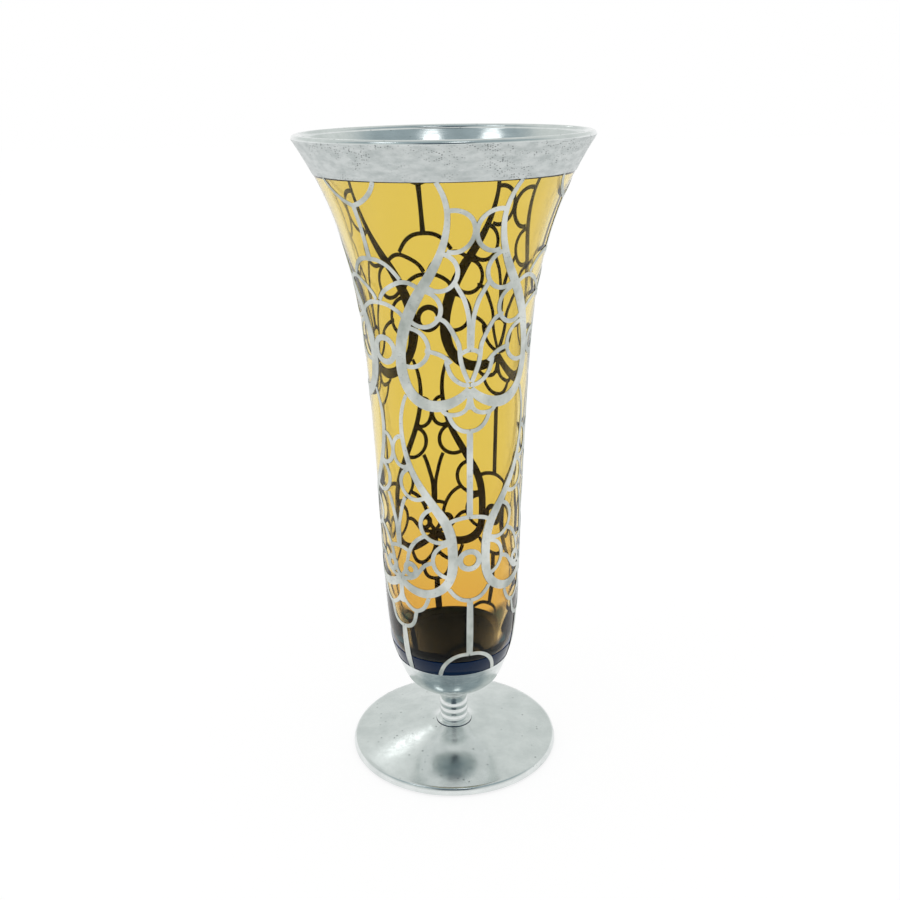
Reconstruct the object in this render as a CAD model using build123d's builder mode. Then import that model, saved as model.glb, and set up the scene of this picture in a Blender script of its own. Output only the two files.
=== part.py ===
from build123d import *

import os
from math import cos, hypot, radians, sin

# Footed trumpet vase: a blown amber bowl with a navy glass base, a glass foot with a ringed neck, and a
# silver deposit over it that forms a wide rim band, a pierced lattice and a sheath over the foot.
# Millimetres, +Z up, origin at the centre of the face it stands on. The photographed side faces -Y.

os.makedirs("parts", exist_ok=True)

# Overall sizes, measured over the silver
vase_height = 250.0
rim_diameter = 108.3
waist_diameter = 53.9
waist_height = 68.0
foot_diameter = 85.6
foot_edge_height = 3.4
neck_diameter = 10.6
neck_foot_height = 9.4
silver_thickness = 0.35
bond_gap = 0.02

# Glass walls
wall_thickness = 2.6
lip_height = 1.3
floor_height = 47.0
floor_diameter = 28.0
lining_thickness = 1.4
navy_top_height = 75.0

# Neck rings and the joint between foot and bowl
neck_ring_count = 3
neck_ring_height = 3.2
neck_ring_depth = 0.6

# Foot
resting_ring_diameter = 68.0
foot_hollow_depth = 1.8
foot_root_diameter = 24.0
foot_root_height = 7.5
foot_edge_setback = 0.8
foot_edge_low_share = 0.32

# Silver
rim_band_height = 13.4
cup_edge_height = 42.8
sheath_floor_gap = 0.5

# Lattice
repeat_count = 3
lattice_turn = 14.75
ribbon_width = 4.4
line_width = 1.6
stem_width = 2.0
circle_radius = 7.0
upper_ring_radius = 5.6
lower_ring_radius = 4.7
ring_line_width = 2.2
seed_ring_radius = 3.5
curve_steps = 8
arcs_per_point = 0.6
wall_samples = 400

# Outer wall between the neck and the waist: shares of that height and of that widening
cup_shares = [(0.061, 0.046), (0.122, 0.171), (0.184, 0.393), (0.245, 0.582), (0.327, 0.698),
              (0.429, 0.781), (0.551, 0.873), (0.673, 0.933), (0.837, 0.975)]
# Outer wall between the waist and the lip: shares of that height and of that widening
flare_shares = [(0.13, 0.028), (0.26, 0.059), (0.40, 0.097), (0.535, 0.144), (0.67, 0.228),
                (0.78, 0.373), (0.865, 0.548), (0.93, 0.736)]
# Thick bottom wall: share of the height from floor to navy top, inner radius as a share of the outer radius,
# and the amber glass's share of the wall
bottom_wall_shares = [(0.07, 0.803, 0.3), (0.232, 0.838, 0.33), (0.464, 0.866, 0.42), (0.75, 0.895, 0.6)]

# Part of the inner wall that is left out below the silver of the lip, before it is cut to the band
silvered_inner_share = 0.8

full_turn = 360
front_angle = -90
half_turn = full_turn / (2 * repeat_count)
foot_radius = foot_diameter / 2 - silver_thickness
neck_radius = neck_diameter / 2 - silver_thickness
waist_radius = waist_diameter / 2 - silver_thickness
lip_radius = rim_diameter / 2 - silver_thickness
lip_base_height = vase_height - silver_thickness - lip_height
neck_top_height = neck_foot_height + neck_ring_count * neck_ring_height
floor_radius = floor_diameter / 2
band_edge_height = vase_height - rim_band_height
lattice_height = band_edge_height - cup_edge_height
foot_edge_radius = foot_radius - foot_edge_setback
foot_edge_top = foot_edge_height - silver_thickness
foot_edge_middle = foot_edge_top * foot_edge_low_share
resting_ring_inner_radius = resting_ring_diameter / 2
resting_ring_outer_radius = foot_radius - foot_edge_middle
far = rim_diameter


def between(low, high, share):
    """The value that lies the given share of the way from low to high."""
    return low + (high - low) * share


cup_points = [
    (between(neck_radius, waist_radius, width), between(neck_top_height, waist_height, height))
    for height, width in cup_shares
]
flare_points = [
    (between(waist_radius, lip_radius, width), between(waist_height, lip_base_height, height))
    for height, width in flare_shares
]
outer_points = [
    (neck_radius, neck_top_height), *cup_points, (waist_radius, waist_height), *flare_points,
    (lip_radius, lip_base_height),
]

# Outer wall as one curve, and its radius at any height
with BuildLine() as outer_wall:
    Spline(*outer_points)
wall_points = [outer_wall.line @ (step / wall_samples) for step in range(wall_samples + 1)]


def radius_at(height):
    """Radius of the glass bowl's outer wall at a height."""
    for low, high in zip(wall_points, wall_points[1:]):
        if high.Y >= height:
            break
    return between(low.X, high.X, (height - low.Y) / (high.Y - low.Y))


def shifted(points, amount):
    """The same outline points, moved outwards."""
    return [(radius + amount, height) for radius, height in points]


# Inner wall and the border between amber and navy glass: a thick bottom, then one wall thickness
inner_points = [(floor_radius, floor_height)]
border_points = [(0, floor_height - lining_thickness), (floor_radius, floor_height - lining_thickness)]
for height_share, inner_share, amber_share in bottom_wall_shares:
    height = between(floor_height, navy_top_height, height_share)
    outer_radius = radius_at(height)
    inner_radius = outer_radius * inner_share
    inner_points.append((inner_radius, height))
    border_points.append((between(inner_radius, outer_radius, amber_share), height))
border_points.append((radius_at(navy_top_height) + silver_thickness, navy_top_height))
inner_points += [(radius - wall_thickness, height) for radius, height in flare_points]
lip_inner_radius = lip_radius - wall_thickness
inner_points.append((lip_inner_radius, lip_base_height))
with BuildLine() as inner_wall:
    Spline(*inner_points)

# Section of the foot and its neck, below the joint with the bowl
with BuildSketch() as foot_section:
    with BuildLine():
        TangentArc((0, foot_hollow_depth), (resting_ring_inner_radius, 0), tangent=(1, 0))
        Line((resting_ring_inner_radius, 0), (resting_ring_outer_radius, 0))
        TangentArc((resting_ring_outer_radius, 0), (foot_radius, foot_edge_middle), tangent=(1, 0))
        TangentArc((foot_radius, foot_edge_middle), (foot_edge_radius, foot_edge_top), tangent=(0, 1))
        foot_top = Line(
            (foot_edge_radius, foot_edge_top),
            (foot_root_diameter / 2, foot_root_height - silver_thickness),
        )
        TangentArc(foot_top @ 1, (neck_radius, neck_foot_height), tangent=foot_top % 1)
        for ring in range(neck_ring_count):
            ring_low = neck_foot_height + ring * neck_ring_height
            ThreePointArc(
                (neck_radius, ring_low),
                (neck_radius + neck_ring_depth, ring_low + neck_ring_height / 2),
                (neck_radius, ring_low + neck_ring_height),
            )
        Polyline((neck_radius, neck_top_height), (0, neck_top_height), (0, foot_hollow_depth))
    make_face()

# Section of the bowl, with its thick bottom and rounded lip
with BuildSketch() as bowl_section:
    with BuildLine():
        add(outer_wall.line)
        lip = ThreePointArc(
            (lip_radius, lip_base_height),
            (lip_radius - wall_thickness / 2, lip_base_height + lip_height),
            (lip_inner_radius, lip_base_height),
        )
        add(inner_wall.line)
        Polyline(
            (floor_radius, floor_height),
            (0, floor_height),
            (0, neck_top_height),
            (neck_radius, neck_top_height),
        )
    make_face()


def wall_layer(inner_face, outer_face):
    """Section of a layer on the outer wall, from neck to lip, between two distances from the glass."""
    with BuildSketch() as layer:
        with BuildLine():
            low = Spline(*shifted(outer_points, inner_face))
            high = Spline(*shifted(outer_points, outer_face))
            Line(low @ 0, high @ 0)
            Line(low @ 1, high @ 1)
        make_face()
    return layer.sketch


wall_silver = wall_layer(0, silver_thickness)

# Silver on the lip and down the inner wall
with BuildSketch() as lip_silver:
    inner_top = inner_wall.line.edge().trim(silvered_inner_share, 1)
    with BuildLine():
        add(inner_top)
        add(lip)
        add(inner_top.translate((-silver_thickness, 0)))
        ThreePointArc(
            (lip_inner_radius - silver_thickness, lip_base_height),
            (lip_radius - wall_thickness / 2, vase_height),
            (lip_radius + silver_thickness, lip_base_height),
        )
        Line((lip_radius, lip_base_height), (lip_radius + silver_thickness, lip_base_height))
        Line(inner_top @ 0, (inner_top @ 0) - (silver_thickness, 0))
    make_face()

# Silver on the foot and its neck
with BuildSketch() as foot_silver:
    add(foot_section.face())
    offset(amount=silver_thickness)
    add([foot_section.face(), bowl_section.face()], mode=Mode.SUBTRACT)


def amber_side():
    """Face that holds everything above and inside the border between the two glasses."""
    with BuildSketch() as side:
        with BuildLine():
            Spline(*border_points)
            Polyline(
                border_points[-1],
                (far, navy_top_height),
                (far, vase_height),
                (0, vase_height),
                border_points[0],
            )
        make_face()
    return side.sketch


def height_band(low, high):
    """Face from the axis outwards between two heights."""
    with BuildSketch() as band:
        with Locations((0, low)):
            Rectangle(far, high - low, align=(Align.MIN, Align.MIN))
    return band.sketch


# Amber bowl: the blown body, with the thin lining over the floor
with BuildPart() as amber_bowl:
    with BuildSketch(Plane.XZ):
        add(bowl_section.face())
        add(amber_side(), mode=Mode.INTERSECT)
    revolve()

# Navy base: the gather that closes the bowl and laps up its lower wall
with BuildPart() as navy_base:
    with BuildSketch(Plane.XZ):
        add(bowl_section.face())
        add(amber_side(), mode=Mode.SUBTRACT)
    revolve()

# Glass foot with its ringed neck
with BuildPart() as glass_foot:
    with BuildSketch(Plane.XZ):
        add(foot_section.face())
    revolve()

# Rim band: silver over the lip, outside and inside
with BuildPart() as rim_band:
    with BuildSketch(Plane.XZ):
        add([wall_silver.face(), lip_silver.face()])
        add(height_band(band_edge_height, vase_height), mode=Mode.INTERSECT)
    revolve()

# Foot sheath: silver over the cup, the neck and the top and edge of the foot
with BuildPart() as foot_sheath:
    with BuildSketch(Plane.XZ):
        add(foot_silver.face())
        with Locations((0, -silver_thickness)):
            Rectangle(
                resting_ring_inner_radius,
                foot_hollow_depth + silver_thickness,
                align=(Align.MIN, Align.MIN),
                mode=Mode.SUBTRACT,
            )
        add(height_band(sheath_floor_gap, neck_top_height), mode=Mode.INTERSECT)
    revolve()
    with BuildSketch(Plane.XZ):
        add(wall_silver.face())
        add(height_band(neck_top_height, cup_edge_height), mode=Mode.INTERSECT)
    revolve()

# Lattice pattern of half a repeat, from the axis of an upper loop (turn 0) to that of a lower loop (turn 1).
# A point is a share of the half turn, counted from its column's own axis, and a share of the lattice height.
# A third number is the share of the ribbon width there.
upper_ribbon_shares = [
    (0.302, 1.0, 0.36), (0.237, 0.961, 0.42), (0.232, 0.922, 0.48), (0.278, 0.883, 0.59),
    (0.367, 0.845, 0.72), (0.5, 0.806, 0.88), (0.625, 0.767, 0.97), (0.732, 0.723, 1.0),
    (0.783, 0.677, 1.0), (0.748, 0.633, 1.0), (0.608, 0.6, 0.98), (0.383, 0.588, 0.95),
    (0.175, 0.597, 0.82), (0.0, 0.62, 0.6),
]
lower_ribbon_shares = [
    (0.253, 0.606, 0.3), (0.17, 0.566, 0.36), (0.157, 0.527, 0.42), (0.207, 0.483, 0.5),
    (0.3, 0.445, 0.6), (0.43, 0.411, 0.7), (0.583, 0.376, 0.8), (0.71, 0.344, 0.87),
    (0.772, 0.305, 0.86), (0.777, 0.262, 0.81), (0.732, 0.225, 0.8), (0.583, 0.202, 0.8),
    (0.317, 0.193, 0.78), (0.078, 0.206, 0.75), (0.0, 0.214, 0.7),
]
# Fine lines of the upper column: flower, eye, scallops, side oval, swag, bud and lower arches
upper_line_shares = [
    [(0.167, 0.822), (0.125, 0.808), (0.083, 0.795), (0.048, 0.777), (0.025, 0.76), (0.015, 0.743),
     (0.008, 0.695)],
    [(0.365, 0.756), (0.3, 0.754), (0.235, 0.744), (0.188, 0.73), (0.143, 0.715), (0.115, 0.701),
     (0.11, 0.686), (0.097, 0.672), (0.058, 0.651), (0.013, 0.633)],
    [(0.11, 0.686), (0.053, 0.693), (0.0, 0.695)],
    [(0.487, 0.695), (0.403, 0.692), (0.32, 0.687), (0.265, 0.681), (0.208, 0.671)],
    [(0.258, 0.676), (0.228, 0.655), (0.182, 0.642), (0.117, 0.633), (0.043, 0.628), (0.0, 0.628)],
    [(0.317, 0.582), (0.262, 0.573), (0.187, 0.571), (0.113, 0.573), (0.05, 0.579), (0.017, 0.589),
     (0.005, 0.602)],
    [(0.242, 0.571), (0.225, 0.563), (0.178, 0.55), (0.123, 0.542), (0.033, 0.537), (0.0, 0.537)],
    [(0.0, 0.361), (0.117, 0.359), (0.233, 0.353), (0.3, 0.345)],
    [(0.0, 0.18), (0.133, 0.185), (0.217, 0.195), (0.275, 0.207)],
    [(0.0, 0.054), (0.142, 0.053), (0.25, 0.046), (0.35, 0.033), (0.417, 0.017), (0.458, 0.0)],
]
# Fine lines of the lower column: arch under the rim, three scallops, flower, scallop, swag and bud
lower_line_shares = [
    [(0.0, 0.955), (0.112, 0.965), (0.2, 0.98), (0.258, 1.0)],
    [(0.0, 0.859), (0.142, 0.855), (0.217, 0.846), (0.275, 0.834), (0.308, 0.826)],
    [(0.025, 0.783), (0.113, 0.803), (0.225, 0.815), (0.308, 0.821), (0.383, 0.821), (0.458, 0.815),
     (0.508, 0.808)],
    [(0.0, 0.778), (0.117, 0.776), (0.208, 0.769), (0.275, 0.76), (0.308, 0.749)],
    [(0.15, 0.396), (0.1, 0.378), (0.055, 0.354), (0.025, 0.336), (0.015, 0.316), (0.008, 0.285)],
    [(0.165, 0.28), (0.08, 0.285), (0.0, 0.286)],
    [(0.402, 0.319), (0.318, 0.311), (0.245, 0.3), (0.188, 0.286), (0.152, 0.273), (0.125, 0.256),
     (0.1, 0.244), (0.05, 0.228), (0.0, 0.22)],
    [(0.54, 0.262), (0.45, 0.26), (0.373, 0.252), (0.3, 0.237), (0.217, 0.225), (0.067, 0.218), (0.0, 0.217)],
    [(0.433, 0.184), (0.393, 0.168), (0.317, 0.155), (0.217, 0.151), (0.15, 0.155), (0.078, 0.163),
     (0.025, 0.174), (0.005, 0.189)],
    [(0.238, 0.148), (0.208, 0.13), (0.15, 0.115), (0.075, 0.109), (0.0, 0.107)],
]
# Straight stems on the axes: two height shares each
upper_stem_shares = [(0.62, 0.58), (0.537, 0.361), (0.18, 0.054)]
lower_stem_shares = [(0.955, 0.859), (0.205, 0.161), (0.107, 0.0)]
# Open circles inside the loops: centre, share of circle radius across and up, first and last angle
upper_circle_shares = [
    (0.177, 0.914, 1.03, 1.03), (0.317, 0.841, 0.96, 0.96), (0.49, 0.773, 0.93, 0.93),
    (0.667, 0.699, 1.03, 1.03),
]
upper_circle_angles = [(70, 290), (98, 319), (87, 330), (76, 300)]
lower_circle_shares = [
    (0.15, 0.49, 0.66, 0.86), (0.307, 0.427, 0.89, 0.89), (0.6, 0.344, 1.0, 1.0), (0.758, 0.268, 1.01, 1.01),
]
lower_circle_angles = [(85, 310), (104, 317), (98, 313), (82, 273)]
upper_ring_share = 0.688
lower_ring_share = 0.268
seed_ring_shares = (0.175, 0.241)

stroke_plane = Plane(
    origin=(0, 0, 0),
    x_dir=Vector(0, 1, 0).rotate(Axis.Z, half_turn / 2),
    z_dir=Vector(1, 0, 0).rotate(Axis.Z, half_turn / 2),
)


def lattice_point(column, turn_share, height_share):
    """Angle in degrees from the upper column's axis and height of a point of the pattern."""
    turn = turn_share if column == "upper" else 1 - turn_share
    return turn * half_turn, cup_edge_height + height_share * lattice_height


def moved(point, across, up):
    """Point of the pattern moved by lengths on the wall."""
    angle, height = point
    return angle + across / radians(radius_at(height)), height + up


def flat(point):
    """Point of the pattern seen along the stroke plane's normal."""
    angle, height = point
    return radius_at(height) * sin(radians(angle - half_turn / 2)), height


def step_between(start, end):
    """Unit direction on the wall from one point of the pattern to the next, and the distance."""
    across = radians(end[0] - start[0]) * radius_at((start[1] + end[1]) / 2)
    up = end[1] - start[1]
    length = hypot(across, up)
    return across / length, up / length, length


def headings(points):
    """Direction of a line through the points at each of them."""
    steps = [step_between(start, end) for start, end in zip(points, points[1:])]
    inner = []
    for (ax, ay, a_length), (bx, by, b_length) in zip(steps, steps[1:]):
        x, y = ax * b_length + bx * a_length, ay * b_length + by * a_length
        inner.append((x / hypot(x, y), y / hypot(x, y)))
    ends = []
    for (x, y, _), (near_x, near_y) in ((steps[0], inner[0]), (steps[-1], inner[-1])):
        dot = x * near_x + y * near_y
        ends.append((2 * dot * x - near_x, 2 * dot * y - near_y))
    return [ends[0], *inner, ends[1]]


def smoothed(points):
    """Places along a smooth curve through the points, two for each arc that will follow it."""
    curve = Spline(*points)
    arcs = max(1, round(len(points) * arcs_per_point))
    return [curve @ (step / (2 * arcs)) for step in range(2 * arcs + 1)]


def draw_arcs(places):
    """Arcs through places, from every second one to the next but one."""
    for start, middle, end in zip(places[0::2], places[1::2], places[2::2]):
        ThreePointArc(start, middle, end)


def stroke(points, widths):
    """Face of a line of the given widths through points of the pattern."""
    left, right = [], []
    for point, (x, y), width in zip(points, headings(points), widths):
        left.append(flat(moved(point, -y * width / 2, x * width / 2)))
        right.append(flat(moved(point, y * width / 2, -x * width / 2)))
    left, right = smoothed(left), smoothed(right)
    with BuildSketch() as face:
        with BuildLine():
            draw_arcs(left)
            Line(left[-1], right[-1])
            draw_arcs(right)
            Line(right[0], left[0])
        make_face()
    return face.sketch


def stem(angle, low, high, width):
    """Face of an upright bar on an axis of the pattern."""
    corners = [
        flat(moved((angle, height), side * width / 2, 0))
        for height, side in ((low, -1), (low, 1), (high, 1), (high, -1))
    ]
    with BuildSketch() as face:
        with BuildLine():
            Polyline(*corners, close=True)
        make_face()
    return face.sketch


def loop_face(centre, radius):
    """Face inside a circle on the wall."""
    points = [
        flat(moved(centre, radius * cos(radians(turn)), radius * sin(radians(turn))))
        for turn in (step * full_turn / curve_steps for step in range(curve_steps + 1))
    ]
    with BuildSketch() as face:
        with BuildLine():
            draw_arcs(points)
        make_face()
    return face.sketch


def arc_points(centre, across, up, first, last):
    """Points of part of an oval on the wall."""
    return [
        moved(centre, across * cos(turn), up * sin(turn))
        for turn in (radians(between(first, last, step / curve_steps)) for step in range(curve_steps + 1))
    ]


columns = {
    "upper": (upper_ribbon_shares, upper_line_shares, upper_stem_shares),
    "lower": (lower_ribbon_shares, lower_line_shares, lower_stem_shares),
}
open_circles = {
    "upper": zip(upper_circle_shares, upper_circle_angles),
    "lower": zip(lower_circle_shares, lower_circle_angles),
}
strokes = []
for column, (ribbon, lines, stems) in columns.items():
    points = [lattice_point(column, turn, height) for turn, height, _ in ribbon]
    strokes.append(stroke(points, [share * ribbon_width for _, _, share in ribbon]))
    for line in lines:
        points = [lattice_point(column, *point) for point in line]
        strokes.append(stroke(points, [line_width] * len(points)))
    for low, high in stems:
        angle, low_height = lattice_point(column, 0, low)
        strokes.append(stem(angle, low_height, lattice_point(column, 0, high)[1], stem_width))
    side = 1 if column == "upper" else -1
    for (turn, height, across, up), (first, last) in open_circles[column]:
        centre = lattice_point(column, turn, height)
        arc = arc_points(centre, side * across * circle_radius, up * circle_radius, first, last)
        strokes.append(stroke(arc, [line_width] * len(arc)))

rings = [
    (lattice_point("upper", 1, upper_ring_share), upper_ring_radius),
    (lattice_point("upper", 0, lower_ring_share), lower_ring_radius),
    (lattice_point("lower", *seed_ring_shares), seed_ring_radius),
]

# Half a repeat of the lattice: the pattern cut through the skin of the decorated wall
with BuildPart() as half_repeat:
    with BuildSketch(Plane.XZ):
        add(wall_layer(bond_gap, silver_thickness))
        add(height_band(cup_edge_height, band_edge_height), mode=Mode.INTERSECT)
    revolve(revolution_arc=half_turn)
    with BuildSketch(stroke_plane) as pattern:
        add([loop_face(centre, radius) for centre, radius in rings])
        add([loop_face(centre, radius - ring_line_width) for centre, radius in rings], mode=Mode.SUBTRACT)
        add(strokes)
    extrude(amount=far, mode=Mode.INTERSECT)

# Silver lattice: each repeat is the half and its mirror image
with BuildPart() as silver_lattice:
    for turn in range(repeat_count):
        place = Rotation(0, 0, front_angle + lattice_turn + 2 * turn * half_turn)
        add(place * half_repeat.part)
        add(place * half_repeat.part.mirror(Plane.XZ))

pieces = {
    "amber_bowl": amber_bowl,
    "navy_base": navy_base,
    "glass_foot": glass_foot,
    "rim_band": rim_band,
    "silver_lattice": silver_lattice,
    "foot_sheath": foot_sheath,
}
for name, piece in pieces.items():
    piece.part.label = name
    export_step(piece.part, f"parts/{name}.step")
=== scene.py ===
"""Looks of a footed trumpet vase: amber glass on a navy glass base, under a pierced silver deposit.

Metres, +Z up, the photographed side faces -Y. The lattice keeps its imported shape. The turned pieces are made
again from the same outline, finely enough for glass and polished silver.
"""

import logging
import math
from dataclasses import dataclass
from enum import Enum, IntEnum
from functools import cached_property
from typing import Any, ClassVar, Sequence

import bpy
import numpy as np
from mathutils import Matrix, Vector


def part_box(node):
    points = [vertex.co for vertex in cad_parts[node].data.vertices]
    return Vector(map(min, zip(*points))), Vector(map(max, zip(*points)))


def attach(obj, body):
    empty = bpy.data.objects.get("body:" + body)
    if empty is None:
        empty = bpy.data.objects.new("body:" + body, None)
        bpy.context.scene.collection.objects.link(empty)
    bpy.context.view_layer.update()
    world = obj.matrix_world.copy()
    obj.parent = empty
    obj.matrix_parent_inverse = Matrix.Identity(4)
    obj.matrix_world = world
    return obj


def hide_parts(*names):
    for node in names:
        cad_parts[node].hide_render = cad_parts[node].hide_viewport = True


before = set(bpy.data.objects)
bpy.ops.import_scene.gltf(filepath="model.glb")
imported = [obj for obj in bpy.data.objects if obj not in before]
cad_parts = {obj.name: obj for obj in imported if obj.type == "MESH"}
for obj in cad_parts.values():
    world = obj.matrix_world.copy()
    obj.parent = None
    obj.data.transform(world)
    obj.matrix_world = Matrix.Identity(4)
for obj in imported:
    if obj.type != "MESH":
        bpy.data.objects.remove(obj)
logging.basicConfig(level=logging.INFO, format="%(message)s")
log = logging.getLogger("vase")

Point = tuple[float, float]
Span = tuple[float, float]
Direction = tuple[float, float, float]
Colour = tuple[float, float, float, float]
Material = bpy.types.Material
Piece = bpy.types.Object
Tree = bpy.types.NodeTree

MM = 0.001
# A radius below this lies on the axis, and a turned ring there is a single point
AXIS_RADIUS = MM * MM
# A moved point has folded over where it ends nearer to the outline than this share of the distance
FOLD_SHARE = 0.98
# Faces that meet at more than this angle keep a crisp edge
SHARP_DEGREES = 40
# Steps of a turned piece round the axis, enough for a smooth mirror
TURN_STEPS = 256


class Slot(Enum):
    """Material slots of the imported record."""

    AMBER_GLASS = "amber_glass"
    NAVY_GLASS = "navy_glass"
    SATIN_SILVER = "satin_silver"
    POLISHED_SILVER = "polished_silver"


class GlassFace(IntEnum):
    """Material numbers of the bowl and the base."""

    WALL = 0
    JOINT = 1
    FLOOR = 2


class BandFace(IntEnum):
    """Material numbers of the rim band."""

    OUTSIDE = 0
    INSIDE = 1
    BACK = 2


class SheathFace(IntEnum):
    """Material numbers of the foot sheath."""

    OUTSIDE = 0
    BACK = 1


def linear(code: str) -> Colour:
    """Turn an sRGB hex colour into a linear one.

    Args:
        code: Colour such as "#c8ced0".

    Returns:
        Red, green, blue and alpha for a shader socket.
    """
    channels = [int(code[place:place + 2], 16) / 255 for place in (1, 3, 5)]
    steps = [c / 12.92 if c <= 0.04045 else ((c + 0.055) / 1.055) ** 2.4 for c in channels]
    return steps[0], steps[1], steps[2], 1.0


def grey(value: float) -> Colour:
    """Linear grey of this strength."""
    return value, value, value, 1.0


def per_mm(size: float) -> float:
    """Texture scale at which one cell of a pattern is this many millimetres wide."""
    return 1 / (size * MM)


def between(low: float, high: float, share: float) -> float:
    """The value that lies the given share of the way from low to high."""
    return low + (high - low) * share


def add_node(tree: Tree, kind: str, sockets: dict[Any, Any] | None = None, **settings: Any) -> Any:
    """Add a node, set it up and link it.

    Args:
        tree: Node tree that gets the node.
        kind: Blender's name of the node type.
        sockets: Input name or number, with a value for it or the output socket that feeds it.
        settings: Attributes of the node itself.

    Returns:
        The new node.
    """
    node = tree.nodes.new(kind)
    for name, value in settings.items():
        setattr(node, name, value)
    for name, value in (sockets or {}).items():
        if isinstance(value, bpy.types.NodeSocket):
            tree.links.new(value, node.inputs[name])
        else:
            node.inputs[name].default_value = value
    return node


def maths(tree: Tree, operation: str, first: Any, second: Any = 0.0) -> Any:
    """Socket with the result of one operation on two values."""
    return add_node(tree, "ShaderNodeMath", {0: first, 1: second}, operation=operation).outputs[0]


def blend(tree: Tree, share: Any, low: Any, high: Any) -> Any:
    """Socket with the colour that lies the given share of the way from low to high."""
    return add_node(tree, "ShaderNodeMix", {0: share, 6: low, 7: high}, data_type="RGBA").outputs[2]


def remap(tree: Tree, value: Any, source: Span, target: Span = (0.0, 1.0), eased: bool = False) -> Any:
    """Carry a value from one span over to another, and hold it at both ends.

    Args:
        tree: Node tree that gets the node.
        value: Socket with the value.
        source: Span that it comes from.
        target: Span that it goes to.
        eased: Whether it starts and stops softly.

    Returns:
        Socket with the new value.
    """
    sockets = {0: value, 1: source[0], 2: source[1], 3: target[0], 4: target[1]}
    kind = "SMOOTHSTEP" if eased else "LINEAR"
    return add_node(tree, "ShaderNodeMapRange", sockets, interpolation_type=kind).outputs[0]


def noise(tree: Tree, place: Any, size: float, detail: float = 2.0, roughness: float = 0.5) -> Any:
    """Draw a soft random pattern.

    Args:
        tree: Node tree of the material.
        place: Socket with the place on the vase.
        size: Width of a cell in millimetres.
        detail: Number of finer layers on it.
        roughness: Strength of each layer next to the one before.

    Returns:
        Socket with the strength of the pattern.
    """
    return add_node(tree, "ShaderNodeTexNoise", {
        "Vector": place, "Scale": per_mm(size), "Detail": detail, "Roughness": roughness}).outputs["Fac"]


def object_place(tree: Tree) -> Any:
    """Socket with the place on the vase."""
    return add_node(tree, "ShaderNodeTexCoord").outputs["Object"]


def height_of(tree: Tree, place: Any) -> Any:
    """Socket with the height of a place above the table."""
    return add_node(tree, "ShaderNodeSeparateXYZ", {0: place}).outputs["Z"]


def vector_maths(tree: Tree, operation: str, *values: Any) -> Any:
    """Outputs of one operation on vectors."""
    return add_node(tree, "ShaderNodeVectorMath", dict(enumerate(values)), operation=operation).outputs


def flattened(tree: Tree, place: Any, times: float) -> Any:
    """Socket with a place whose height counts this many times, which makes a pattern that much flatter."""
    return vector_maths(tree, "MULTIPLY", place, (1, 1, times))[0]


def both(tree: Tree, first: tuple[Any, Span], second: tuple[Any, Span]) -> Any:
    """Find where two values have both gone through their spans.

    Args:
        tree: Node tree that gets the nodes.
        first: Socket with a value, and the span that it goes through.
        second: The same for the other value.

    Returns:
        Socket with the product of their eased shares.
    """
    shares = [remap(tree, value, span, eased=True) for value, span in (first, second)]
    return maths(tree, "MULTIPLY", *shares)


def bump(tree: Tree, pattern: Any, strength: float, depth: float, under: Any = None) -> Any:
    """Turn a pattern into relief.

    Args:
        tree: Node tree of the material.
        pattern: Socket with the pattern.
        strength: Share of the relief that is shown.
        depth: Depth of the relief in millimetres.
        under: Socket with the relief that it lies on, if there is one.

    Returns:
        Socket with the tilted normal.
    """
    sockets = {"Height": pattern, "Strength": strength, "Distance": depth * MM}
    if under is not None:
        sockets["Normal"] = under
    return add_node(tree, "ShaderNodeBump", sockets).outputs[0]


def surfaced(tree: Tree, sockets: dict[str, Any]) -> Any:
    """Give a material its surface.

    Args:
        tree: Node tree of the material.
        sockets: Settings and links of the principled shader.

    Returns:
        The output node that it is linked to.
    """
    shader = add_node(tree, "ShaderNodeBsdfPrincipled", sockets)
    return add_node(tree, "ShaderNodeOutputMaterial", {"Surface": shader.outputs[0]})


def new_material(name: str) -> tuple[Material, Tree]:
    """Make an empty node material.

    Args:
        name: Name of the material.

    Returns:
        The material and its node tree.
    """
    material = bpy.data.materials.new(name)
    material.use_nodes = True
    material.node_tree.nodes.clear()
    return material, material.node_tree


def smooth_curve(points: Sequence[Point], samples: int) -> np.ndarray:
    """Sample a smooth curve through points, whose ends run on as a parabola through three of them.

    Args:
        points: Radius and height of each point, in order.
        samples: Number of steps along the whole curve.

    Returns:
        Array of radius and height, one row for each sample.
    """
    knots = np.array(points, float)
    steps = np.hypot(*np.diff(knots, axis=0).T)
    places = np.concatenate([[0], np.cumsum(steps)])
    rises = np.diff(knots, axis=0) / steps[:, None]
    count = len(knots)
    system, right = np.eye(count), np.zeros((count, 2))
    for i in range(1, count - 1):
        before, after = steps[i - 1], steps[i]
        system[i, i - 1:i + 2] = after, 2 * (before + after), before
        right[i] = 3 * (after * rises[i - 1] + before * rises[i])
    right[0] = ((2 * steps[0] + steps[1]) * rises[0] - steps[0] * rises[1]) / (steps[0] + steps[1])
    right[-1] = ((2 * steps[-1] + steps[-2]) * rises[-1] - steps[-1] * rises[-2]) / (steps[-1] + steps[-2])
    slopes = np.linalg.solve(system, right)
    at = np.linspace(0, places[-1], samples + 1)
    low = np.clip(np.searchsorted(places, at, side="right") - 1, 0, count - 2)
    width = steps[low][:, None]
    t = (at - places[low])[:, None] / width
    return (
        knots[low] * (1 + 2 * t) * (1 - t) ** 2 + knots[low + 1] * t**2 * (3 - 2 * t)
        + width * (slopes[low] * t * (1 - t) ** 2 - slopes[low + 1] * t**2 * (1 - t))
    )


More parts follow.
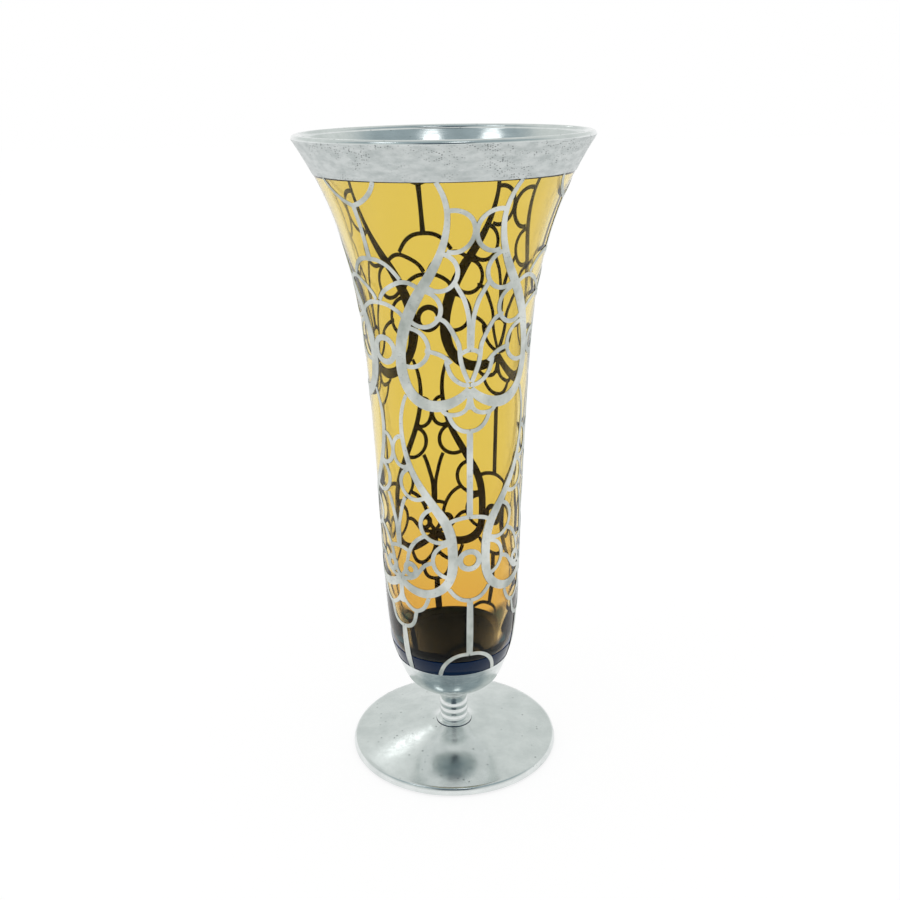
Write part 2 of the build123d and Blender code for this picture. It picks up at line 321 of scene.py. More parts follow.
def arc(centre: Point, radius: float, first: float, last: float, steps: int) -> np.ndarray:
    """Points of an arc.

    Args:
        centre: Radius and height of the centre.
        radius: Radius of the arc.
        first: First angle in degrees from the outward direction.
        last: Last angle in degrees.
        steps: Number of steps between them.

    Returns:
        Array of radius and height, one row for each point.
    """
    turns = np.radians(np.linspace(first, last, steps + 1))
    return np.column_stack([centre[0] + radius * np.cos(turns), centre[1] + radius * np.sin(turns)])


def part_of(path: np.ndarray, low: float, high: float, steps: int = 48) -> np.ndarray:
    """Cut the stretch between two heights out of an outline that only rises.

    Args:
        path: Outline from bottom to top.
        low: Height of the lower cut.
        high: Height of the upper cut.
        steps: Number of steps between them.

    Returns:
        Array of radius and height, one row for each point.
    """
    heights = np.linspace(low, high, steps + 1)
    return np.column_stack([np.interp(heights, path[:, 1], path[:, 0]), heights])


def raised(path: np.ndarray, distance: float) -> np.ndarray:
    """Move an outline out along its own normals and drop what would fold over itself.

    Args:
        path: Outline with the outside on its right.
        distance: How far it moves.

    Returns:
        The moved outline.
    """
    run = np.gradient(path, axis=0)
    run /= np.hypot(*run.T)[:, None]
    moved = path + distance * np.column_stack([run[:, 1], -run[:, 0]])
    gaps = np.hypot(*(moved[:, None, :] - path[None, :, :]).transpose(2, 0, 1)).min(axis=1)
    return moved[gaps > FOLD_SHARE * distance]


@dataclass(frozen=True)
class VaseOutline:
    """Section of the vase in metres: radius and height of every turned surface.

    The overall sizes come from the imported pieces, and the other sizes and the shares are those of the part.
    A pair of shares says how far up and how far out a point lies. For the bottom of the inner wall it says
    how far up the point lies, and its share of the outer radius.
    """

    lip_radius: float
    lip_base: float
    band_edge: float
    cup_edge: float
    sheath_base: float
    neck_top: float
    foot_radius: float
    silver: float = 0.35 * MM
    wall: float = 2.6 * MM
    lip_height: float = 1.3 * MM
    bond: float = 0.12 * MM
    joint: float = 0.015 * MM
    joint_rise: float = 2.5 * MM
    dark_floor_top: float = 48.3 * MM
    waist_radius: float = 26.6 * MM
    waist_height: float = 68.0 * MM
    floor_height: float = 47.0 * MM
    floor_radius: float = 14.0 * MM
    lining: float = 1.4 * MM
    navy_top: float = 75.0 * MM
    neck_radius: float = 4.95 * MM
    neck_foot: float = 9.4 * MM
    ring_depth: float = 0.6 * MM
    ring_count: int = 3
    foot_root_radius: float = 12.0 * MM
    foot_root_height: float = 7.15 * MM
    foot_setback: float = 0.8 * MM
    foot_top: float = 3.05 * MM
    foot_low_share: float = 0.32
    collar_radius: float = 6.9 * MM
    collar_height: float = 0.6 * MM
    wall_steps: int = 180
    joint_steps: int = 45
    lip_steps: int = 20
    lip_silver_steps: int = 28
    foot_edge_steps: int = 12
    foot_shoulder_steps: int = 10
    foot_top_points: int = 40
    foot_root_steps: int = 28
    collar_steps: int = 8
    ring_steps: int = 16

    cup_shares: ClassVar[tuple[Point, ...]] = (
        (0.061, 0.046), (0.122, 0.171), (0.184, 0.393), (0.245, 0.582), (0.327, 0.698),
        (0.429, 0.781), (0.551, 0.873), (0.673, 0.933), (0.837, 0.975))
    flare_shares: ClassVar[tuple[Point, ...]] = (
        (0.13, 0.028), (0.26, 0.059), (0.40, 0.097), (0.535, 0.144), (0.67, 0.228),
        (0.78, 0.373), (0.865, 0.548), (0.93, 0.736))
    bottom_wall_shares: ClassVar[tuple[Point, ...]] = (
        (0.07, 0.803), (0.232, 0.838), (0.464, 0.866), (0.75, 0.895))

    @classmethod
    def of_packed_vase(cls) -> "VaseOutline":
        """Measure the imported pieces.

        Returns:
            The outline of the glass, without the silver that the boxes of the silver pieces hold.
        """
        (_, _, band_low), (rim_radius, _, top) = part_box("rim_band")
        (_, _, sheath_low), (foot_radius, _, cup_edge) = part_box("foot_sheath")
        neck_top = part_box("glass_foot")[1].z
        return cls(
            lip_radius=rim_radius - cls.silver,
            lip_base=top - cls.silver - cls.lip_height,
            band_edge=band_low,
            cup_edge=cup_edge,
            sheath_base=sheath_low,
            neck_top=neck_top,
            foot_radius=foot_radius - cls.silver,
        )

    @property
    def lip_centre(self) -> Point:
        """Middle of the lip's rounding."""
        return self.lip_radius - self.wall / 2, self.lip_base

    @property
    def cup_points(self) -> list[Point]:
        """Points of the outer wall between the neck and the waist."""
        return [
            (between(self.neck_radius, self.waist_radius, out), between(self.neck_top, self.waist_height, up))
            for up, out in self.cup_shares
        ]

    @property
    def flare_points(self) -> list[Point]:
        """Points of the outer wall above the waist."""
        return [
            (between(self.waist_radius, self.lip_radius, out), between(self.waist_height, self.lip_base, up))
            for up, out in self.flare_shares
        ]

    @cached_property
    def outer_wall(self) -> np.ndarray:
        """Outer face of the glass bowl.

        Returns:
            Array of radius and height from the neck to the lip.
        """
        neck, waist = (self.neck_radius, self.neck_top), (self.waist_radius, self.waist_height)
        points = [neck, *self.cup_points, waist, *self.flare_points, (self.lip_radius, self.lip_base)]
        return smooth_curve(points, self.wall_steps)

    def radius_at(self, height: float) -> float:
        """Radius of the outer wall at a height."""
        return float(np.interp(height, self.outer_wall[:, 1], self.outer_wall[:, 0]))

    @cached_property
    def inner_wall(self) -> np.ndarray:
        """Inner face of the glass bowl.

        Returns:
            Array of radius and height from the floor's edge to the lip.
        """
        points = [(self.floor_radius, self.floor_height)]
        for up, share in self.bottom_wall_shares:
            height = between(self.floor_height, self.navy_top, up)
            points.append((self.radius_at(height) * share, height))
        points += [(radius - self.wall, height) for radius, height in self.flare_points]
        return smooth_curve([*points, (self.lip_radius - self.wall, self.lip_base)], self.wall_steps)

    @cached_property
    def glass_joint(self) -> np.ndarray:
        """Joint between amber and navy glass.

        Returns:
            Array of radius and height from the axis out to the outer wall.
        """
        flat = self.floor_height - self.lining
        rim = self.floor_height + self.joint_rise
        points = [(0.0, flat), (self.floor_radius, flat), (self.radius_at(rim) + self.silver, rim)]
        joint, wall = smooth_curve(points, self.joint_steps), self.outer_wall
        inside = joint[:, 0] < np.interp(joint[:, 1], wall[:, 1], wall[:, 0]) - self.joint
        return joint[inside]

    def foot_outline(self) -> np.ndarray:
        """Outer face of the glass foot.

        Returns:
            Array of radius and height from the resting ring to the top of the neck.
        """
        middle = self.foot_top * self.foot_low_share
        edge = arc((self.foot_radius - middle, middle), middle, -90, 0, self.foot_edge_steps)
        inset, rise = self.foot_setback, self.foot_top - middle
        upper = (inset**2 + rise**2) / (2 * inset)
        turn = math.degrees(math.asin(rise / upper))
        shoulder = arc((self.foot_radius - upper, middle), upper, 0, turn, self.foot_shoulder_steps)
        top = np.linspace(shoulder[-1], (self.foot_root_radius, self.foot_root_height), self.foot_top_points)
        root = self.root_curve(top)[1:]
        below = root[root[:, 0] > self.collar_radius]
        half = self.collar_height / 2
        collar = arc((self.collar_radius - half, below[-1][1] + half), half, -90, 90, self.collar_steps)
        above = root[root[:, 1] > collar[-1][1]]
        return np.vstack([edge, shoulder[1:], top[1:], below, collar, above, *self.neck_rings()])

    def root_curve(self, top: np.ndarray) -> np.ndarray:
        """Hollow curve that leads from the foot's top to the neck.

        Args:
            top: Line of the foot's top, outside first.

        Returns:
            Points of an arc that leaves the line smoothly and ends at the foot of the neck.
        """
        heading = (top[-1] - top[0]) / np.hypot(*(top[-1] - top[0]))
        normal = np.array([heading[1], -heading[0]])
        normal *= math.copysign(1, normal[1])
        chord = np.array([self.neck_radius, self.neck_foot]) - top[-1]
        radius = chord @ chord / (2 * chord @ normal)
        centre = top[-1] + radius * normal
        first, last = (math.degrees(math.atan2(*(p - centre)[::-1])) for p in (top[-1], top[-1] + chord))
        return arc(tuple(centre), radius, first, last, self.foot_root_steps)

    def neck_rings(self) -> list[np.ndarray]:
        """Soft rings that the neck is made of.

        Returns:
            Points of one bulging arc for each ring, the lowest first.
        """
        rise = (self.neck_top - self.neck_foot) / self.ring_count
        bulge = (rise**2 / 4 + self.ring_depth**2) / (2 * self.ring_depth)
        spread = math.degrees(math.asin(rise / 2 / bulge))
        out = self.neck_radius + self.ring_depth - bulge
        return [
            arc((out, self.neck_foot + rise * (ring + 0.5)), bulge, -spread, spread, self.ring_steps)
            for ring in range(self.ring_count)
        ]


def turned_mesh(name: str, path: np.ndarray, kinds: Sequence[int], closed: bool) -> Piece:
    """Turn an outline round the vase's axis.

    Args:
        name: Name of the new piece.
        path: Radius and height of each point of the outline.
        kinds: Material number of each stretch between two points.
        closed: Whether the last point is joined to the first one.

    Returns:
        The new piece, in the scene.
    """
    segments = TURN_STEPS
    turns = math.tau * np.arange(segments) / segments
    round_axis = np.column_stack([np.sin(turns), -np.cos(turns), np.zeros(segments)])
    rings, points = [], []
    for radius, height in path:
        if radius < AXIS_RADIUS:
            rings.append([len(points)] * segments)
            points.append((0.0, 0.0, float(height)))
        else:
            rings.append(list(range(len(points), len(points) + segments)))
            points.extend((round_axis * radius + (0, 0, height)).tolist())
    faces, numbers = [], []
    for stretch in range(len(path) if closed else len(path) - 1):
        low, high = rings[stretch], rings[(stretch + 1) % len(path)]
        for step in range(segments):
            after = (step + 1) % segments
            faces.append(tuple(dict.fromkeys((low[step], low[after], high[after], high[step]))))
            numbers.append(int(kinds[stretch]))
    data = bpy.data.meshes.new(name)
    data.from_pydata(points, [], faces)
    data.polygons.foreach_set("material_index", numbers)
    loop = path if closed else np.vstack([path, (0, path[-1][1]), (0, path[0][1])])
    following = np.roll(loop, -1, axis=0)
    if (loop[:, 0] * following[:, 1] - following[:, 0] * loop[:, 1]).sum() < 0:
        data.flip_normals()
    data.shade_smooth()
    data.set_sharp_from_angle(angle=math.radians(SHARP_DEGREES))
    piece = bpy.data.objects.new(name, data)
    bpy.context.scene.collection.objects.link(piece)
    return piece


@dataclass(frozen=True)
class BlownGlass:
    """Soda glass blown and polished by its own heat: clear, with faint long waves and a few colour streaks.

    Patterns and heights are in millimetres.
    """

    name: str
    upper: str
    lower: str
    fade_from: float
    fade_to: float
    wave: float = 26.0
    wave_depth: float = 0.05
    wave_strength: float = 0.5
    streak: float = 14.0
    streak_detail: float = 3.0
    streak_span: Span = (0.3, 0.7)
    streak_drift: float = 6.0
    roughness: float = 0.012
    ior: float = 1.5
    shine: float = 0.12
    clear: float = 1.0
    absorbed: str = "#ffffff"
    density: float = 0.0
    lap: str = ""
    lap_low: float = 45.5
    lap_rise: float = 14.0
    lap_reach: float = 26.0
    lap_blur: float = 2.5
    lap_clear: float = 0.3

    def lap_share(self, tree: Tree, place: Any) -> Any:
        """Draw where the glass below laps up over this one, higher at the two sides than in the middle.

        Args:
            tree: Node tree of the material.
            place: Socket with the place on the vase.

        Returns:
            Socket with 1 where it is covered and 0 above the lap.
        """
        across, _, height = add_node(tree, "ShaderNodeSeparateXYZ", {0: place}).outputs
        side = maths(tree, "DIVIDE", across, self.lap_reach * MM)
        square = maths(tree, "MULTIPLY", side, side)
        steep = maths(tree, "MULTIPLY", square, square)
        edge = remap(tree, steep, (0.0, 1.0), (self.lap_low * MM, (self.lap_low + self.lap_rise) * MM))
        depth = maths(tree, "SUBTRACT", edge, height)
        return remap(tree, depth, (-self.lap_blur * MM, self.lap_blur * MM), eased=True)

    def build(self) -> Material:
        """Glass whose tint changes with height; the eye sees the colour of both walls together.

        Returns:
            The material, which also absorbs light on the way through where its density is set.
        """
        material, tree = new_material(self.name)
        place = object_place(tree)
        streaks = noise(tree, place, self.streak, self.streak_detail)
        drift = remap(tree, streaks, self.streak_span, (-self.streak_drift * MM, self.streak_drift * MM))
        level = maths(tree, "ADD", height_of(tree, place), drift)
        share = remap(tree, level, (self.fade_from * MM, self.fade_to * MM), eased=True)
        tint = blend(tree, share, linear(self.lower), linear(self.upper))
        clear: Any = self.clear
        if self.lap:
            covered = self.lap_share(tree, place)
            tint = blend(tree, covered, tint, linear(self.lap))
            clear = remap(tree, covered, (0.0, 1.0), (self.clear, self.lap_clear))
        relief = bump(tree, noise(tree, place, self.wave, detail=0.0), self.wave_strength, self.wave_depth)
        output = surfaced(tree, {
            "Base Color": tint, "Roughness": self.roughness, "IOR": self.ior, "Transmission Weight": clear,
            "Specular Tint": grey(self.shine), "Normal": relief})
        if self.density:
            body = add_node(tree, "ShaderNodeVolumeAbsorption", {
                "Color": linear(self.absorbed), "Density": self.density})
            tree.links.new(body.outputs[0], output.inputs["Volume"])
        return material


@dataclass(frozen=True)
class DepositedSilver:
    """Silver grown on the glass in a bath, then buffed: hand-worn, with pits, hairlines and soft clouding.

    Patterns and heights are in millimetres.
    """

    name: str
    bright: str
    dull: str
    tarnish: str
    smooth: float
    rough: float
    cloud: float = 9.0
    cloud_stretch: float = 1.6
    cloud_detail: float = 5.0
    cloud_roughness: float = 0.62
    cloud_span: Span = (0.34, 0.62)
    hairline: float = 0.8
    hairline_stretch: float = 8.0
    hairline_detail: float = 5.0
    hairline_roughness: float = 0.7
    hairline_span: Span = (0.3, 0.7)
    hairline_depth: float = 0.02
    hairline_strength: float = 0.6
    pit: float = 1.1
    pit_stretch: float = 2.4
    pit_share: float = 0.35
    pit_edge: Span = (0.2, 0.5)
    pit_rows: float = 12.0
    pit_rows_span: Span = (0.46, 0.6)
    pits_above: float = 0.0
    pits_fade: Span = (-5.0, 4.0)
    pits_gain: Span = (-0.1, 0.06)
    wave: float = 9.0
    wave_depth: float = 0.05
    underside: str = ""
    underside_facing: float = -0.35

    def tone(self, tree: Tree, place: Any) -> Any:
        """Draw the clouded metal.

        Args:
            tree: Node tree of the material.
            place: Socket with the place on the vase.

        Returns:
            Socket with the metal's colour before the pits.
        """
        stretched = flattened(tree, place, self.cloud_stretch)
        clouds = noise(tree, stretched, self.cloud, self.cloud_detail, self.cloud_roughness)
        return blend(tree, remap(tree, clouds, self.cloud_span), linear(self.dull), linear(self.bright))

    def pits(self, tree: Tree, place: Any) -> Any:
        """Draw the tarnished pits, which lie in short rows round the vase.

        Args:
            tree: Node tree of the material.
            place: Socket with the place on the vase.

        Returns:
            Socket with 1 in a pit and 0 on clean metal.
        """
        flat = flattened(tree, place, self.pit_stretch)
        cells = add_node(tree, "ShaderNodeTexVoronoi", {"Vector": flat, "Scale": per_mm(self.pit)})
        picked = add_node(tree, "ShaderNodeSeparateColor", {0: cells.outputs["Color"]}).outputs[0]
        chosen = maths(tree, "LESS_THAN", picked, self.pit_share)
        hole = remap(tree, cells.outputs["Distance"], self.pit_edge, (1.0, 0.0))
        rows = noise(tree, flat, self.pit_rows)
        low, high = ((self.pits_above + offset) * MM for offset in self.pits_fade)
        gain = remap(tree, height_of(tree, place), (low, high), self.pits_gain)
        patch = remap(tree, maths(tree, "ADD", rows, gain), self.pit_rows_span)
        return maths(tree, "MULTIPLY", maths(tree, "MULTIPLY", chosen, hole), patch)

    def shown_back(self, tree: Tree, coordinates: Any) -> Any:
        """Draw which faces lie on the glass and look towards the axis.

        Args:
            tree: Node tree of the material.
            coordinates: Outputs of the texture coordinate node.

        Returns:
            Socket with 1 on those faces and 0 on the others.
        """
        outward = vector_maths(tree, "NORMALIZE", flattened(tree, coordinates["Object"], 0))[0]
        facing = vector_maths(tree, "DOT_PRODUCT", outward, coordinates["Normal"])["Value"]
        return maths(tree, "LESS_THAN", facing, self.underside_facing)

    def build(self) -> Material:
        """Metal with clouded tone, sparse dark pits and hairlines that run round the vase.

        Returns:
            The material, with fired paint on the side that lies on the glass where its colour is set.
        """
        material, tree = new_material(self.name)
        coordinates = add_node(tree, "ShaderNodeTexCoord").outputs
        place = coordinates["Object"]
        stretched = flattened(tree, place, self.hairline_stretch)
        length = self.hairline * self.hairline_stretch
        lines = noise(tree, stretched, length, self.hairline_detail, self.hairline_roughness)
        grain = remap(tree, lines, self.hairline_span, (self.smooth, self.rough))
        colour = blend(tree, self.pits(tree, place), self.tone(tree, place), linear(self.tarnish))
        swell = bump(tree, noise(tree, place, self.wave, detail=1.0), 1.0, self.wave_depth)
        relief = bump(tree, lines, self.hairline_strength, self.hairline_depth, swell)
        metallic: Any = 1.0
        if self.underside:
            under = self.shown_back(tree, coordinates)
            colour = blend(tree, under, colour, linear(self.underside))
            metallic = maths(tree, "SUBTRACT", 1.0, under)
        surfaced(tree, {"Base Color": colour, "Metallic": metallic, "Roughness": grain, "Normal": relief})
        return material


@dataclass(frozen=True)
class MottledDark:
    """Dull dark surface with soft clouds between two near-black colours."""

    name: str
    paler: str
    darker: str
    mottle: float
    detail: float
    roughness: float
    gloss: float

    def build(self) -> Material:
        """Surface that lets no light through and shows the eye little more than its outline.

        Returns:
            The material.
        """
        material, tree = new_material(self.name)
        clouds = noise(tree, object_place(tree), self.mottle, self.detail)
        surfaced(tree, {
            "Base Color": blend(tree, clouds, linear(self.paler), linear(self.darker)),
            "Roughness": self.roughness, "Specular IOR Level": self.gloss})
        return material


@dataclass(frozen=True)
class FusedJoint:
    """Face where two glasses were melted together: light crosses it without bending or shining back."""

    name: str
    tint: str
    clear: float = 1.0

    def build(self) -> Material:
        """Clear face with the refraction of air, so that the two glasses read as one body.

        Returns:
            The material.
        """
        material, tree = new_material(self.name)
        surfaced(tree, {
            "Base Color": linear(self.tint), "Roughness": 0.0, "IOR": 1.0, "Transmission Weight": self.clear,
            "Specular IOR Level": 0.0})
        return material


# Amber soda glass, blown: warm yellow that deepens to orange near the base, seen through two walls.
# Its lap is the cobalt glass that climbs the lower wall at the two sides.
AMBER = BlownGlass("blown_amber_glass", upper="#efe199", lower="#eed18c", fade_from=56, fade_to=130,
                   absorbed="#eec25c", density=25.0, lap="#0b4480")
# Cobalt soda glass, gathered thick: lets through only deep blue, and almost nothing where it is thick
NAVY = BlownGlass("gathered_cobalt_glass", upper="#063a70", lower="#022c54", fade_from=44, fade_to=74,
                  shine=0.1, clear=0.35, absorbed="#0078c0", density=600.0)
# Deposited silver, buffed to a satin: pale grey with dark pits and fine lines round the vase
SATIN = DepositedSilver("satin_deposited_silver", bright="#cfd4d3", dull="#b6bdbc", tarnish="#454b4b",
                        smooth=0.26, rough=0.46, cloud=5.0, cloud_stretch=2.5, pit=0.8, pit_share=0.3,
                        pits_above=243.0)
# The same satin silver on the lattice, with its fired underside where it lies on the glass
LATTICE = DepositedSilver("satin_silver_on_fired_paint", bright="#d9ddd8", dull="#a4aba5", tarnish="#7d8483",
                          smooth=0.26, rough=0.46, cloud=14.0, cloud_stretch=0.7, pit=0.7, pit_share=0.06,
                          underside="#140a05")
# Deposited silver, polished: mirror grey with soft waves from the hand-made glass under it
POLISHED = DepositedSilver("polished_deposited_silver", bright="#e3e7e6", dull="#d5dad9", tarnish="#a5abaa",
                           smooth=0.1, rough=0.22, hairline_depth=0.006, pit_share=0.03, wave=16.0)
# Silver paint, brushed on and fired in before the bath: a dull brown that is almost black through the glass
UNDERSIDE = MottledDark("fired_silver_paint", paler="#1e1008", darker="#0c0806", mottle=0.8, detail=2.0,
                        roughness=0.5, gloss=0.5)
# Amber lining over thick cobalt glass, melted together: no light gets through. The face is blue-black, and
# the eye sees it through the amber wall as brown-black.
FLOOR = MottledDark("amber_over_cobalt_floor", paler="#101a2a", darker="#0a101c", mottle=6.0, detail=3.0,
                    roughness=0.3, gloss=0.0)
# Amber side of the seam between the two gathers, melted in the fire: clear, with the amber of a thin layer
AMBER_JOINT = FusedJoint("amber_side_of_fused_joint", "#f0cd86")
# Cobalt side of the same seam: nearly closed, so that the base under the bowl reads as solid blue
NAVY_JOINT = FusedJoint("navy_side_of_fused_joint", "#0b2c58", clear=0.1)


def seat(piece: Piece, slot: Slot, node: str | None, *materials: Material) -> None:
    """Dress a piece and fix it to the vase.

    Args:
        piece: Piece that is already in place.
        slot: Slot of the record that its finish comes from.
        node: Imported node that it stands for, or None where it is that node.
        materials: Its materials, in the order of their numbers.
    """
    # Clearing also resets which face wears which material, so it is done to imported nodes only
    if node is None:
        piece.data.materials.clear()
    for material in materials:
        piece.data.materials.append(material)
    if node:
        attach(piece, "root")
        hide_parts(node)
    log.info("%s: %d faces, %s", piece.name, len(piece.data.polygons), slot.value)


@dataclass
class GlassBody:
    """Bowl, base and foot: three gathers of glass melted into one body."""

    outline: VaseOutline

    def swollen_wall(self) -> np.ndarray:
        """The outer wall moved out a hair, so that the silver lies in the glass with no film of air."""
        return raised(self.outline.outer_wall, self.outline.bond)

    def build_bowl(self, glass: Material, joint: Material, dark: Material) -> None:
        """Make the amber bowl.

        Args:
            glass: Amber glass.
            joint: Face melted to the navy base.
            dark: Floor of the bowl, over the navy base.
        """
        o = self.outline
        border = o.glass_joint + (0, o.joint)
        outer = self.swollen_wall()
        outer = outer[outer[:, 1] > border[-1, 1]]
        lip = arc(o.lip_centre, o.wall / 2, 0, 180, o.lip_steps)[1:-1]
        inner = o.inner_wall[::-1]
        path = np.vstack([border, outer, lip, inner, (0.0, o.floor_height)])
        kinds = [GlassFace.JOINT] * (len(border) - 1) + [GlassFace.WALL] * (len(outer) + len(lip) + 1)
        kinds += [GlassFace.FLOOR if height < o.dark_floor_top else GlassFace.WALL for height in inner[:, 1]]
        bowl = turned_mesh("blown_amber_bowl", path, kinds, closed=False)
        seat(bowl, Slot.AMBER_GLASS, "amber_bowl", glass, joint, dark)

    def build_base(self, glass: Material, joint: Material) -> None:
        """Make the navy base under the bowl.

        Args:
            glass: Navy glass.
            joint: Face melted to the amber bowl.
        """
        o = self.outline
        border = (o.glass_joint - (0, o.joint))[::-1]
        outer = self.swollen_wall()
        outer = outer[outer[:, 1] < border[0, 1]]
        path = np.vstack([[(0.0, o.neck_top)], outer, border])
        kinds = [GlassFace.WALL] * len(outer) + [GlassFace.JOINT] * len(border)
        base = turned_mesh("navy_glass_gather", path, kinds, closed=False)
        seat(base, Slot.NAVY_GLASS, "navy_base", glass, joint)

    def build(self) -> None:
        """Make and dress the three gathers."""
        amber, navy = AMBER.build(), NAVY.build()
        self.build_bowl(amber, AMBER_JOINT.build(), FLOOR.build())
        self.build_base(navy, NAVY_JOINT.build())
        seat(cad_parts["glass_foot"], Slot.NAVY_GLASS, None, navy)


@dataclass
class SilverDeposit:
    """Silver over the glass: rim band, pierced lattice and foot sheath."""

    outline: VaseOutline

    def build_rim(self, satin: Material, polished: Material, underside: Material) -> None:
        """Make the band over the lip.

        Args:
            satin: Finish of its outside.
            polished: Finish of the lip and the inside.
            underside: What shows through the glass.
        """
        o = self.outline
        outer = part_of(o.outer_wall, o.band_edge, o.lip_base)
        inner = part_of(o.inner_wall, o.band_edge, o.lip_base)[::-1]
        over = arc(o.lip_centre, o.wall / 2 + o.silver, 0, 180, o.lip_silver_steps)[1:-1]
        under = arc(o.lip_centre, o.wall / 2 - o.bond, 180, 0, o.lip_steps)
        face = np.vstack([outer + (o.silver, 0), over, inner - (o.silver, 0)])
        back = np.vstack([inner[::-1] + (o.bond, 0), under, outer[::-1] - (o.bond, 0)])
        kinds = [BandFace.OUTSIDE] * len(outer) + [BandFace.INSIDE] * (len(face) - len(outer))
        kinds += [BandFace.BACK] * len(back)
        band = turned_mesh("silver_rim_band", np.vstack([face, back]), kinds, closed=True)
        seat(band, Slot.SATIN_SILVER, "rim_band", satin, polished, underside)

    def build_sheath(self, polished: Material, underside: Material) -> None:
        """Make the sheath over the foot, the neck and the cup.

        Args:
            polished: Finish of its outside.
            underside: What shows through the glass.
        """
        o = self.outline
        foot, cup = o.foot_outline(), part_of(o.outer_wall, o.neck_top, o.cup_edge)
        face = np.vstack([raised(foot, o.silver), cup + (o.silver, 0)])
        back = np.vstack([foot, cup])[::-1]
        face, back = face[face[:, 1] > o.sheath_base], back[back[:, 1] > o.sheath_base]
        kinds = [SheathFace.OUTSIDE] * len(face) + [SheathFace.BACK] * len(back)
        sheath = turned_mesh("silver_foot_sheath", np.vstack([face, back]), kinds, closed=True)
        seat(sheath, Slot.POLISHED_SILVER, "foot_sheath", polished, underside)

    def build(self) -> None:
        """Make and dress the three stretches of silver."""
        polished, underside = POLISHED.build(), UNDERSIDE.build()
        self.build_rim(SATIN.build(), polished, underside)
        self.build_sheath(polished, underside)
        seat(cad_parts["silver_lattice"], Slot.SATIN_SILVER, None, LATTICE.build())


@dataclass(frozen=True)
class SoftBox:
    """Round soft lamp that looks at the vase from a direction."""

    name: str
    towards: Direction
    size: float
    watts: float
    distance: float = 1.0

    def build(self, aim: Vector) -> None:
        """Hang the lamp.

        Args:
            aim: Point that it looks at.
        """
        light = bpy.data.lights.new(self.name, "AREA")
        light.shape = "DISK"
        light.size = self.size
        light.energy = self.watts
        lamp = bpy.data.objects.new(self.name, light)
        away = Vector(self.towards).normalized()
        lamp.location = aim + away * self.distance
        lamp.rotation_euler = away.to_track_quat("Z", "Y").to_euler()
        bpy.context.scene.collection.objects.link(lamp)


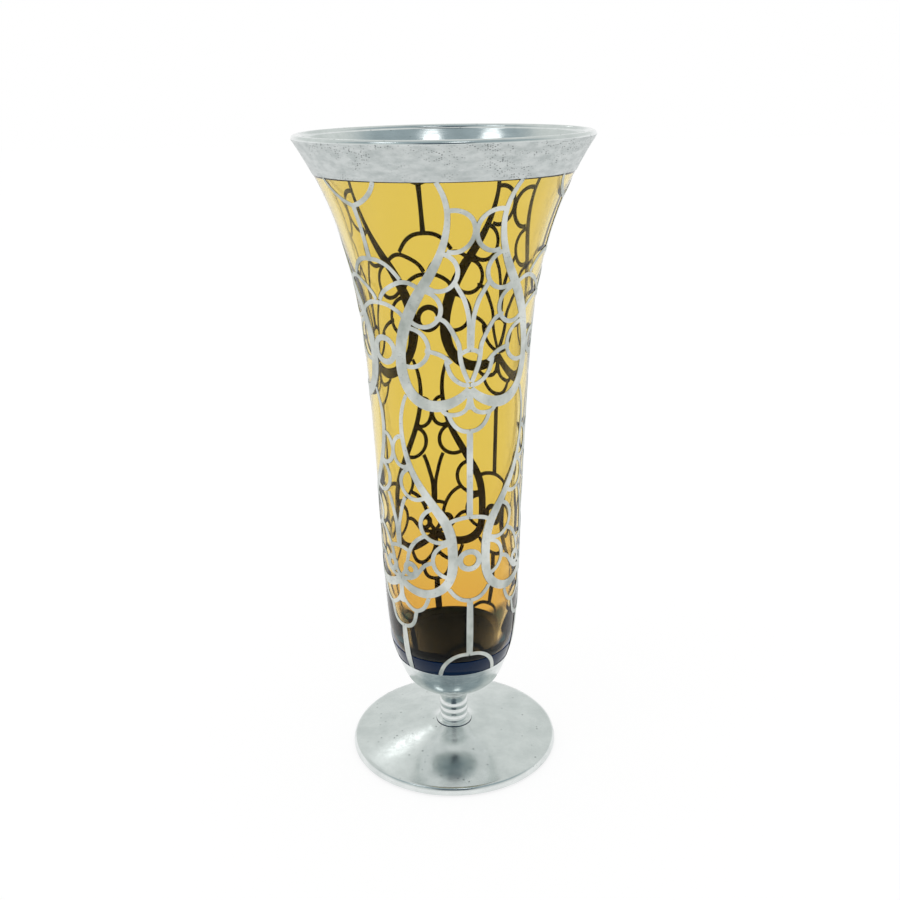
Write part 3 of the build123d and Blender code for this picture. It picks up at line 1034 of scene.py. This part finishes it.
@dataclass(frozen=True)
class Studio:
    """White table and background, a grey-blue room in front, three soft lamps and the camera.

    Each span of the room runs from where a tone starts to where it is full, in parts of a unit vector.
    """

    lamps: ClassVar[tuple[SoftBox, ...]] = (
        SoftBox("window_above_right", towards=(0.129, -0.449, 0.885), size=0.2, watts=0.16),
        SoftBox("window_above_left", towards=(-0.476, -0.28, 0.835), size=0.24, watts=0.22),
        SoftBox("lamp_behind_left", towards=(-0.216, 0.777, 0.589), size=0.08, watts=0.022),
    )
    wall_white: str = "#ffffff"
    wall_grey: str = "#e0e4e2"
    wall_up: Span = (0.12, 0.38)
    ceiling: str = "#a3b1b6"
    ceiling_front: Span = (0.35, -0.1)
    ceiling_up: Span = (0.35, 0.75)
    corner: str = "#2c4050"
    corner_side: Span = (0.42, 0.22)
    corner_up: Span = (0.36, 0.48)
    corner_down: Span = (0.85, 0.65)
    corner_front: Span = (0.0, -0.2)
    ambient: float = 0.7
    table_lit: str = "#e7e7e7"
    table_size: float = 8.0
    table_gap: float = 0.2 * MM
    table_glow: float = 0.83
    table_shade: float = 0.25
    camera_place: Direction = (0.27 * MM, -404.45 * MM, 270.46 * MM)
    camera_pitch: float = 19.175
    camera_roll: float = 1.01
    camera_lens: float = 43.746
    camera_near: float = 10 * MM

    def seen_white(self, tree: Tree) -> Any:
        """Find the rays of the camera, of mirrors and of glass, which see the bright table and the room.

        Args:
            tree: Node tree of the table or the world.

        Returns:
            Socket with 1 for such a ray and 0 for one that only lights the scene.
        """
        path = add_node(tree, "ShaderNodeLightPath").outputs
        seen = maths(tree, "MAXIMUM", path["Is Camera Ray"], path["Is Glossy Ray"])
        return maths(tree, "MAXIMUM", seen, path["Is Transmission Ray"])

    def room(self, tree: Tree) -> Any:
        """Draw the room that silver mirrors: white walls, a grey-blue ceiling and a dark corner in front.

        Args:
            tree: Node tree of the world.

        Returns:
            Socket with its colour.
        """
        way = add_node(tree, "ShaderNodeTexCoord").outputs["Generated"]
        x, y, z = add_node(tree, "ShaderNodeSeparateXYZ", {0: way}).outputs
        shade = remap(tree, z, self.wall_up, eased=True)
        wall = blend(tree, shade, linear(self.wall_white), linear(self.wall_grey))
        overhead = both(tree, (y, self.ceiling_front), (z, self.ceiling_up))
        covered = blend(tree, overhead, wall, linear(self.ceiling))
        low = both(tree, (maths(tree, "ABSOLUTE", x), self.corner_side), (z, self.corner_up))
        high = both(tree, (z, self.corner_down), (y, self.corner_front))
        return blend(tree, maths(tree, "MULTIPLY", low, high), covered, linear(self.corner))

    def build_world(self) -> None:
        """Light the scene plainly, give the silver a room to mirror and show the camera plain white."""
        world = bpy.data.worlds.new("white_studio")
        bpy.context.scene.world = world
        world.use_nodes = True
        tree = world.node_tree
        tree.nodes.clear()
        colour = blend(tree, self.seen_white(tree), grey(self.ambient), self.room(tree))
        camera_ray = add_node(tree, "ShaderNodeLightPath").outputs["Is Camera Ray"]
        shown = blend(tree, camera_ray, colour, linear(self.wall_white))
        glow = add_node(tree, "ShaderNodeBackground", {"Color": shown, "Strength": 1.0})
        add_node(tree, "ShaderNodeOutputWorld", {"Surface": glow.outputs[0]})

    def build_table(self) -> None:
        """Lay the white table, which keeps a faint shadow."""
        material, tree = new_material("white_table")
        lit = add_node(tree, "ShaderNodeBsdfDiffuse", {"Color": linear(self.table_lit)}).outputs[0]
        faint = add_node(tree, "ShaderNodeBsdfDiffuse", {"Color": grey(self.table_shade)}).outputs[0]
        glow = add_node(tree, "ShaderNodeEmission", {
            "Color": grey(1.0), "Strength": self.table_glow}).outputs[0]
        white = add_node(tree, "ShaderNodeAddShader", {0: faint, 1: glow}).outputs[0]
        mix = add_node(tree, "ShaderNodeMixShader", {0: self.seen_white(tree), 1: lit, 2: white}).outputs[0]
        add_node(tree, "ShaderNodeOutputMaterial", {"Surface": mix})
        half = self.table_size / 2
        data = bpy.data.meshes.new("table")
        corners = [(x * half, y * half, -self.table_gap) for x, y in ((-1, -1), (1, -1), (1, 1), (-1, 1))]
        data.from_pydata(corners, [], [(0, 1, 2, 3)])
        data.materials.append(material)
        table = bpy.data.objects.new("table", data)
        bpy.context.scene.collection.objects.link(table)

    def build_camera(self) -> None:
        """Set the camera where the photograph was taken from."""
        camera = bpy.data.objects.new("camera", bpy.data.cameras.new("camera"))
        camera.data.lens = self.camera_lens
        camera.data.clip_start = self.camera_near
        tilt = Matrix.Rotation(math.radians(90 - self.camera_pitch), 4, "X")
        roll = Matrix.Rotation(math.radians(-self.camera_roll), 4, "Z")
        camera.matrix_world = Matrix.Translation(self.camera_place) @ tilt @ roll
        bpy.context.scene.collection.objects.link(camera)
        bpy.context.scene.camera = camera

    def build(self) -> None:
        """Set up the whole studio."""
        bpy.context.scene.view_settings.view_transform = "Standard"
        self.build_camera()
        self.build_world()
        self.build_table()
        aim = Vector((0, 0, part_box("rim_band")[1].z / 2))
        for lamp in self.lamps:
            lamp.build(aim)
        log.info("studio: %d lamps", len(self.lamps))


def main() -> None:
    """Build the studio and the vase."""
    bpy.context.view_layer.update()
    Studio().build()
    outline = VaseOutline.of_packed_vase()
    GlassBody(outline).build()
    SilverDeposit(outline).build()
    bpy.context.view_layer.update()


if __name__ == "__main__":
    main()
